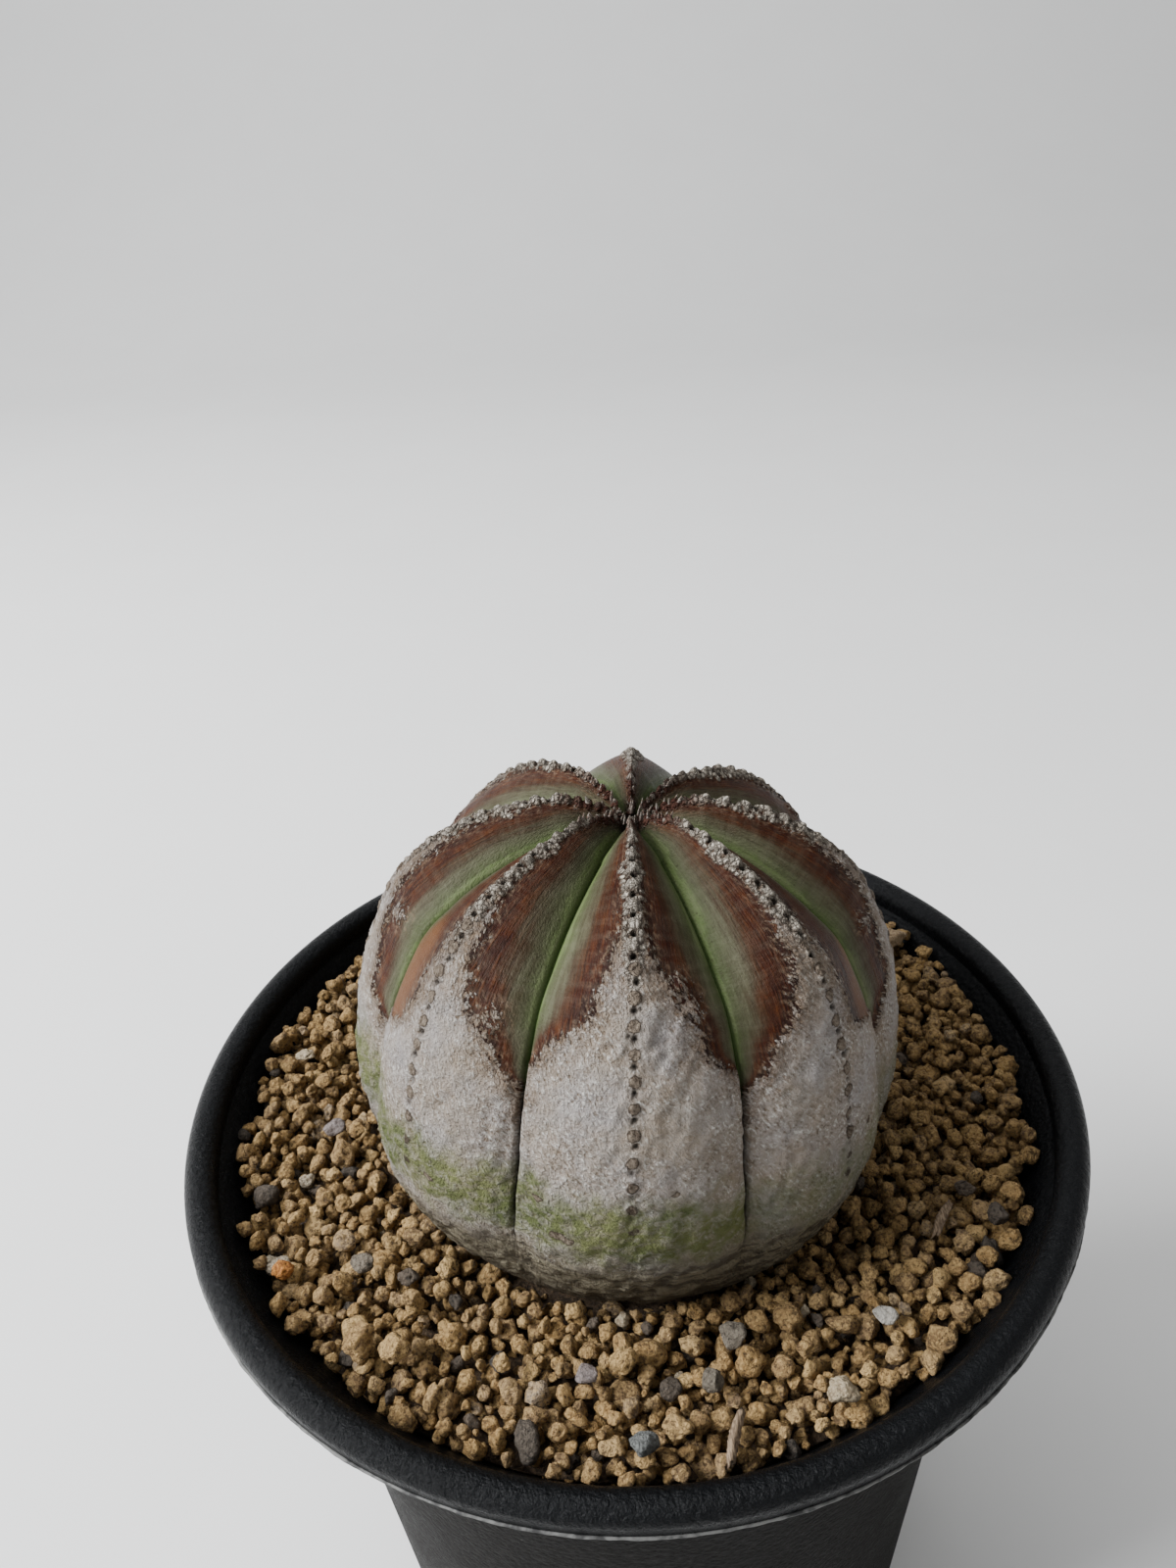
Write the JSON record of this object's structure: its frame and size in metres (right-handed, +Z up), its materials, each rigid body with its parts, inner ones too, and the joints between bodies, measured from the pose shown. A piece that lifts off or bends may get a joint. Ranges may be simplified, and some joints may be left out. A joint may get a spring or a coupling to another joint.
{
  "type": "potted round euphorbia",
  "caption": "Round ribbed succulent euphorbia with a corky barked body, standing in fine tan baked-clay mix in a black plastic nursery pot with a rolled rim.",
  "frame": {"origin": "centre of the pot foot, on the surface that the pot stands on", "axes": "+Z up along the pot axis, -Y towards the side of the plant that is seen from the front, +X to its right"},
  "size_m": [0.105, 0.105, 0.129],
  "materials": {
    "pot_plastic": "black injection-moulded nursery pot, fine grained satin, dusty on the body",
    "net_plastic": "black plastic mesh",
    "coarse_pumice": "coarse pale pumice, rough and porous",
    "akadama_mix": "fine baked-clay grains, dry, matte and pitted",
    "plant_skin": "corky whitish bark over green and maroon skin, matte with a waxy bloom",
    "tan_grain": "dry baked-clay grain, matte",
    "orange_grain": "orange baked-clay grain, matte",
    "white_grain": "white chip, matte",
    "cream_grain": "cream pumice, matte",
    "wood": "dry wood splinter",
    "charcoal_grain": "dark scoria, rough",
    "grey_grain": "grey pumice, matte",
    "blue_grey_grain": "blue-grey stone, matte",
    "lilac_grain": "pale lilac grain, matte"
  },
  "bodies": {
    "root": {"akadama_grain_01": "tan_grain", "akadama_grain_02": "tan_grain", "akadama_grain_03": "tan_grain", "akadama_grain_04": "tan_grain", "akadama_grain_05": "tan_grain", "akadama_grain_06": "tan_grain", "akadama_grain_07": "tan_grain", "akadama_grain_08": "tan_grain", "akadama_grain_09": "tan_grain", "akadama_grain_10": "tan_grain", "akadama_grain_11": "tan_grain", "akadama_grain_12": "tan_grain", "akadama_grain_13": "tan_grain", "akadama_grain_14": "tan_grain", "akadama_grain_15": "tan_grain", "akadama_grain_16": "tan_grain", "akadama_grain_17": "tan_grain", "akadama_grain_18": "tan_grain", "akadama_grain_19": "tan_grain", "akadama_grain_20": "tan_grain", "akadama_grain_21": "tan_grain", "akadama_grain_22": "tan_grain", "akadama_grain_23": "tan_grain", "akadama_grain_24": "tan_grain", "back_pebble": "tan_grain", "back_pumice_1": "grey_grain", "back_pumice_2": "cream_grain", "blue_stone": "blue_grey_grain", "bottom_net": "net_plastic", "cream_grain": "cream_grain", "dark_scoria_1": "charcoal_grain", "dark_scoria_2": "charcoal_grain", "dark_scoria_3": "charcoal_grain", "drainage_pumice": "coarse_pumice", "euphorbia": "plant_skin", "front_twig": "wood", "grey_pumice_1": "grey_grain", "grey_pumice_2": "grey_grain", "grey_pumice_3": "grey_grain", "left_akadama_1": "tan_grain", "left_akadama_2": "tan_grain", "lilac_grain": "lilac_grain", "orange_grain": "orange_grain", "pale_chip": "cream_grain", "pale_lilac_grain": "lilac_grain", "pot": "pot_plastic", "potting_mix": "akadama_mix", "white_chip": "white_grain", "wood_splinter": "wood"}
  },
  "joints": []
}
